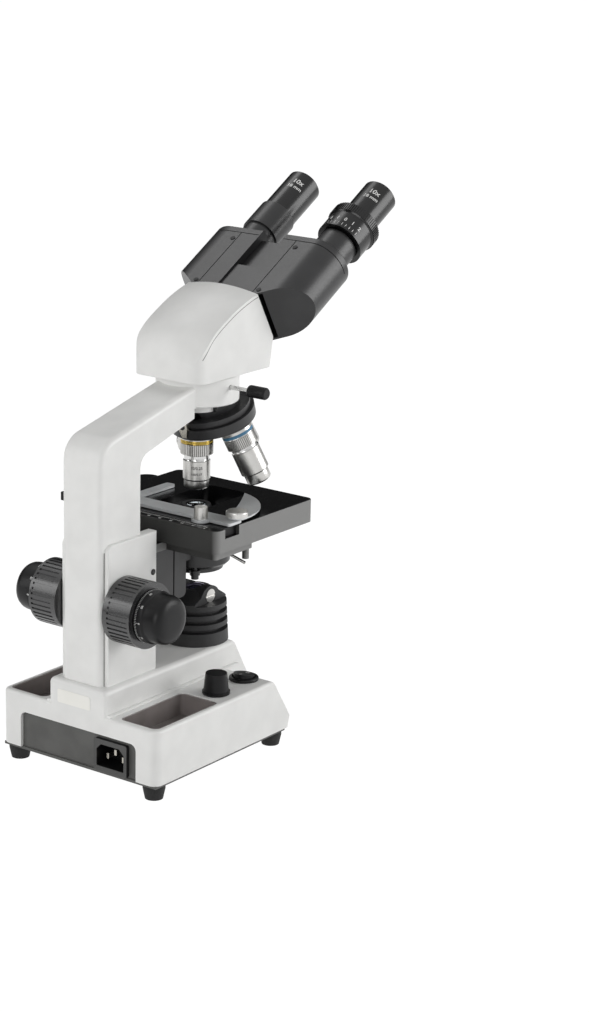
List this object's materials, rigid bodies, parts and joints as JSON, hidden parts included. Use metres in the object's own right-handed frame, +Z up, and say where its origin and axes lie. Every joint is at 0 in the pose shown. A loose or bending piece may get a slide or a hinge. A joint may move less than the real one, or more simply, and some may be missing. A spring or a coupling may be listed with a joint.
{
  "type": "binocular compound microscope",
  "caption": "Upright laboratory microscope with inclined binocular head, revolving nosepiece, mechanical stage, focusing condenser and base lamp.",
  "frame": {"origin": "where the optical axis meets the table", "axes": "+Z up, -Y towards the user at the eyepieces, +X to the user's right"},
  "size_m": [0.1602, 0.3116, 0.3929],
  "materials": {
    "white_paint": "satin white enamel",
    "black_paint": "satin black enamel",
    "black_plastic": "fine matte",
    "black_steel": "textured black enamel",
    "rubber": "matte",
    "chrome": "satin chrome",
    "steel": "ground",
    "aluminium": "satin anodised",
    "glass": "polished",
    "led": "emitter under clear resin"
  },
  "bodies": {
    "stand": {"base_casting": "white_paint", "left_tray": "black_plastic", "right_tray": "black_plastic", "bottom_plate": "black_steel", "rubber_feet": "rubber", "rear_panel": "black_steel", "mains_inlet": "black_plastic", "inlet_pins": "steel", "dial_control": "black_plastic", "switch_body": "black_plastic", "arm": "white_paint", "right_focus_cover": "white_paint", "left_focus_cover": "white_paint", "lamp_housing": "black_plastic", "lamp_cap": "black_steel", "lamp_screws": "chrome", "led_module": "led", "collector_lens": "glass", "nosepiece_mount": "black_paint", "detent_spring": "steel"},
    "coarse_slide": {"coarse_slide": "steel"},
    "coarse_knobs": {"coarse_shaft": "steel", "right_coarse_knob": "black_plastic", "left_coarse_knob": "black_plastic"},
    "fine_knobs": {"fine_shaft": "steel", "right_fine_knob": "black_plastic", "left_fine_knob": "black_plastic"},
    "stage_carrier": {"stage_carrier": "black_paint", "stage_bed": "black_paint"},
    "condenser": {"condenser_carrier": "black_paint", "condenser_drum": "black_paint", "condenser_lens": "glass"},
    "condenser_screw": {"condenser_screw": "chrome"},
    "iris": {"iris_lever": "chrome"},
    "filter": {"filter_ring": "black_paint", "filter_glass": "glass"},
    "stage": {"stage_plate": "black_paint", "drive_hub": "black_plastic"},
    "y_drive_knob": {"y_drive_knob": "black_plastic"},
    "x_drive_knob": {"x_drive_knob": "black_plastic"},
    "slide_holder": {"holder_bar": "aluminium", "slide_holder": "aluminium", "holder_screws": "chrome", "clip_cap": "chrome"},
    "slide_clip": {"slide_clip": "aluminium"},
    "nosepiece": {"nosepiece_turret": "black_paint", "objective_4x": "chrome", "objective_10x": "chrome", "objective_40x": "chrome", "objective_100x": "chrome"},
    "head": {"head_housing": "white_paint", "binocular_bridge": "black_paint"},
    "left_tube": {"left_tube_housing": "black_paint"},
    "right_tube": {"right_tube_housing": "black_paint", "right_eyepiece": "black_paint"},
    "left_eyepiece": {"left_eyepiece": "black_paint"},
    "diopter_ring": {"diopter_ring": "black_paint"},
    "lock_screw": {"lock_screw": "black_plastic"},
    "brightness_dial": {"brightness_dial": "black_plastic"},
    "switch_rocker": {"switch_rocker": "black_plastic"}
  },
  "joints": [
    {"name": "coarse_focus", "type": "slide", "parent": "stand", "child": "coarse_slide", "axis": [0, 0, 1], "range_m": [-0.008, 0.001]},
    {"name": "coarse_knob_turn", "type": "hinge", "parent": "stand", "child": "coarse_knobs", "pos_m": [0, 0.107, 0.125], "axis": [1, 0, 0], "range_deg": [-9.55, 76.4]},
    {"name": "fine_focus", "type": "slide", "parent": "coarse_slide", "child": "stage_carrier", "axis": [0, 0, 1], "range_m": [-0.0005, 0.0005]},
    {"name": "fine_knob_turn", "type": "hinge", "parent": "stand", "child": "fine_knobs", "pos_m": [0, 0.107, 0.125], "axis": [1, 0, 0], "range_deg": [-900.09, 900.09]},
    {"name": "condenser_focus", "type": "slide", "parent": "stage_carrier", "child": "condenser", "axis": [0, 0, 1], "range_m": [-0.0025, 0]},
    {"name": "condenser_screw_turn", "type": "hinge", "parent": "condenser", "child": "condenser_screw", "pos_m": [0, 0, 0.14775], "axis": [-0.8192, 0.5736, 0], "range_deg": [0, 360]},
    {"name": "iris_swing", "type": "hinge", "parent": "condenser", "child": "iris", "pos_m": [0, 0, 0.1385], "axis": [0, 0, 1], "range_deg": [-30, 30]},
    {"name": "filter_swing", "type": "hinge", "parent": "condenser", "child": "filter", "pos_m": [-0.014, 0.0185, 0.1302], "axis": [0, 0, 1], "range_deg": [-90, 0]},
    {"name": "stage_y", "type": "slide", "parent": "stage_carrier", "child": "stage", "axis": [0, 1, 0], "range_m": [-0.014, 0.008]},
    {"name": "stage_y_knob", "type": "hinge", "parent": "stage", "child": "y_drive_knob", "pos_m": [0.071, -0.03, 0.1595], "axis": [0, 0, 1], "range_deg": [-133.7, 76.4]},
    {"name": "holder_x", "type": "slide", "parent": "stage", "child": "slide_holder", "axis": [1, 0, 0], "range_m": [-0.025, 0.025]},
    {"name": "holder_x_knob", "type": "hinge", "parent": "stage", "child": "x_drive_knob", "pos_m": [0.071, -0.03, 0.1595], "axis": [0, 0, 1], "range_deg": [-238.76, 238.76]},
    {"name": "slide_clip_swing", "type": "hinge", "parent": "slide_holder", "child": "slide_clip", "pos_m": [-0.057, 0.026, 0.1791], "axis": [0, 0, 1], "range_deg": [-35, 0], "stiffness_Nm_per_rad": 0.02, "springref_deg": 17.19},
    {"name": "nosepiece_turn", "type": "hinge", "parent": "stand", "child": "nosepiece", "pos_m": [0, -0.01902, 0.22968], "axis": [0, 0.309, 0.9511], "continuous": true},
    {"name": "head_turn", "type": "hinge", "parent": "stand", "child": "head", "pos_m": [0, 0, 0.2705], "axis": [0, 0, 1], "continuous": true},
    {"name": "lock_screw_turn", "type": "hinge", "parent": "stand", "child": "lock_screw", "pos_m": [0, 0, 0.2645], "axis": [-1, 0, 0], "range_deg": [0, 360]},
    {"name": "left_eye_slide", "type": "slide", "parent": "head", "child": "left_tube", "axis": [1, 0, 0], "range_m": [-0.0025, 0.0075]},
    {"name": "right_eye_slide", "type": "slide", "parent": "head", "child": "right_tube", "axis": [1, 0, 0], "range_m": [-0.0075, 0.0025]},
    {"name": "left_eyepiece_focus", "type": "slide", "parent": "left_tube", "child": "left_eyepiece", "axis": [0, -0.866, 0.5], "range_m": [-0.001, 0.0015]},
    {"name": "diopter_turn", "type": "hinge", "parent": "left_eyepiece", "child": "diopter_ring", "pos_m": [-0.035, -0.1215, 0.35185], "axis": [0, -0.866, 0.5], "range_deg": [-240.02, 360.04]},
    {"name": "brightness_turn", "type": "hinge", "parent": "stand", "child": "brightness_dial", "pos_m": [-0.054, 0.0434, 0.0525], "axis": [0, 0, 1], "range_deg": [0, 270]},
    {"name": "switch_rock", "type": "hinge", "parent": "stand", "child": "switch_rocker", "pos_m": [-0.051, 0.007, 0.0542], "axis": [1, 0, 0], "range_deg": [-16, 0]}
  ],
  "couplings": [
    {"joint": "coarse_knob_turn", "follows": "coarse_focus", "rad_per_m": -166.67},
    {"joint": "fine_knob_turn", "follows": "fine_focus", "rad_per_m": -31416},
    {"joint": "stage_y_knob", "follows": "stage_y", "rad_per_m": 166.67},
    {"joint": "holder_x_knob", "follows": "holder_x", "rad_per_m": 166.67},
    {"joint": "right_eye_slide", "follows": "left_eye_slide", "ratio": -1},
    {"joint": "diopter_turn", "follows": "left_eyepiece_focus", "rad_per_m": 4188.8}
  ]
}
